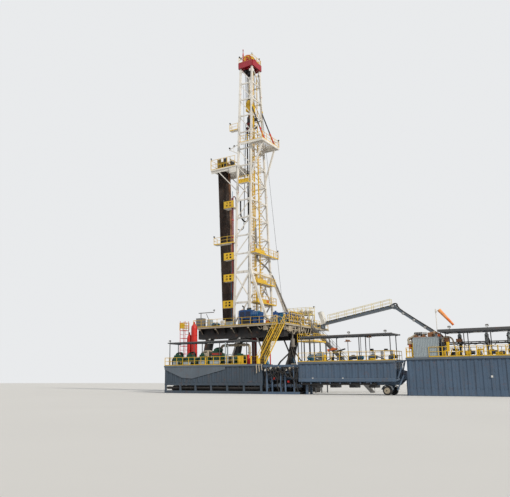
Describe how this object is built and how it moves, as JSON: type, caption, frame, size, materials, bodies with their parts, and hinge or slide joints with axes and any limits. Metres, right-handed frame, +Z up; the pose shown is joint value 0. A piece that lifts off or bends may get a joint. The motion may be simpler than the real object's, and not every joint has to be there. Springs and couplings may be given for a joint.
{
  "type": "1:10 scale model of an oil drilling rig",
  "caption": "Land drilling rig: tapering lattice mast, raised drill floor, racked pipe, stairs, service arm and a row of mud tanks, with a hoist that travels.",
  "frame": {"origin": "centre of the well at ground level, on the lower face of the blowout preventer flange", "axes": "+X from the pipe door towards the winch, +Y away from the mud tanks, +Z up"},
  "size_m": [5.006, 2.506, 6.042],
  "materials": {
    "cabin_grey": "satin",
    "dark_steel": "matte",
    "deck_grey": "matte",
    "hose_rubber": "matte",
    "mast_cream": "satin",
    "pipe_brown": "satin",
    "rig_blue": "satin",
    "rig_red": "satin",
    "safety_yellow": "satin",
    "shaker_green": "satin",
    "sock_cloth": "matte",
    "tank_slate": "satin",
    "wire_rope": "satin"
  },
  "bodies": {
    "rig": {"mast_near_side": "mast_cream", "mast_far_side": "mast_cream", "mast_back": "mast_cream", "crown_frame": "rig_red", "crown_sheaves": "safety_yellow", "crown_rails": "safety_yellow", "signal_pole": "rig_red", "back_braces": "mast_cream", "racking_board": "safety_yellow", "racking_board_rails": "safety_yellow", "racked_stands": "pipe_brown", "upper_platform": "mast_cream", "upper_platform_rails": "safety_yellow", "platform_struts": "mast_cream", "ladder_landings": "safety_yellow", "mast_ladder": "safety_yellow", "back_platforms": "safety_yellow", "standpipes": "rig_red", "guide_rails": "safety_yellow", "drilling_lines": "wire_rope", "fast_line": "wire_rope", "rotary_hose": "hose_rubber", "service_loop": "hose_rubber", "base_boxes": "dark_steel", "swing_legs": "dark_steel", "floor_girders": "dark_steel", "drill_floor": "deck_grey", "rotary_table": "rig_red", "floor_rails": "safety_yellow", "control_cabinet": "deck_grey", "drawworks": "rig_blue", "winch_platform": "safety_yellow", "power_unit": "rig_blue", "bop_stack": "rig_red", "side_platform": "safety_yellow", "front_stair": "deck_grey", "front_stair_rails": "safety_yellow", "side_stair": "deck_grey", "cable_arm": "deck_grey", "cable_arm_rails": "mast_cream", "cable_arm_stand": "deck_grey", "shaker_tank": "tank_slate", "shaker_tank_deck": "tank_slate", "shakers": "shaker_green", "manifold_bay": "tank_slate", "middle_tank": "tank_slate", "middle_tank_deck": "tank_slate", "right_tank": "tank_slate", "right_tank_deck": "tank_slate", "tank_rails": "safety_yellow", "canopies": "dark_steel", "tank_cabin": "cabin_grey", "windsock_pole": "mast_cream", "separator": "rig_red", "flow_line": "deck_grey"},
    "block": {"top_drive": "dark_steel", "travelling_block": "safety_yellow"},
    "wheels": {"road_wheels": "dark_steel"},
    "sock": {"windsock": "sock_cloth", "windsock_hoop": "mast_cream"}
  },
  "joints": [
    {"name": "hoist", "type": "slide", "parent": "rig", "child": "block", "axis": [0, 0, 1], "range_m": [-2.9, 0.25], "deforming": ["drilling_lines", "rotary_hose", "service_loop"]},
    {"name": "wheel_spin", "type": "hinge", "parent": "rig", "child": "wheels", "pos_m": [2.645, -1.35, 0.053], "axis": [0, 1, 0], "continuous": true},
    {"name": "sock_swivel", "type": "hinge", "parent": "rig", "child": "sock", "pos_m": [3.204, -1.23, 0.98], "axis": [0, 0, 1], "continuous": true}
  ]
}
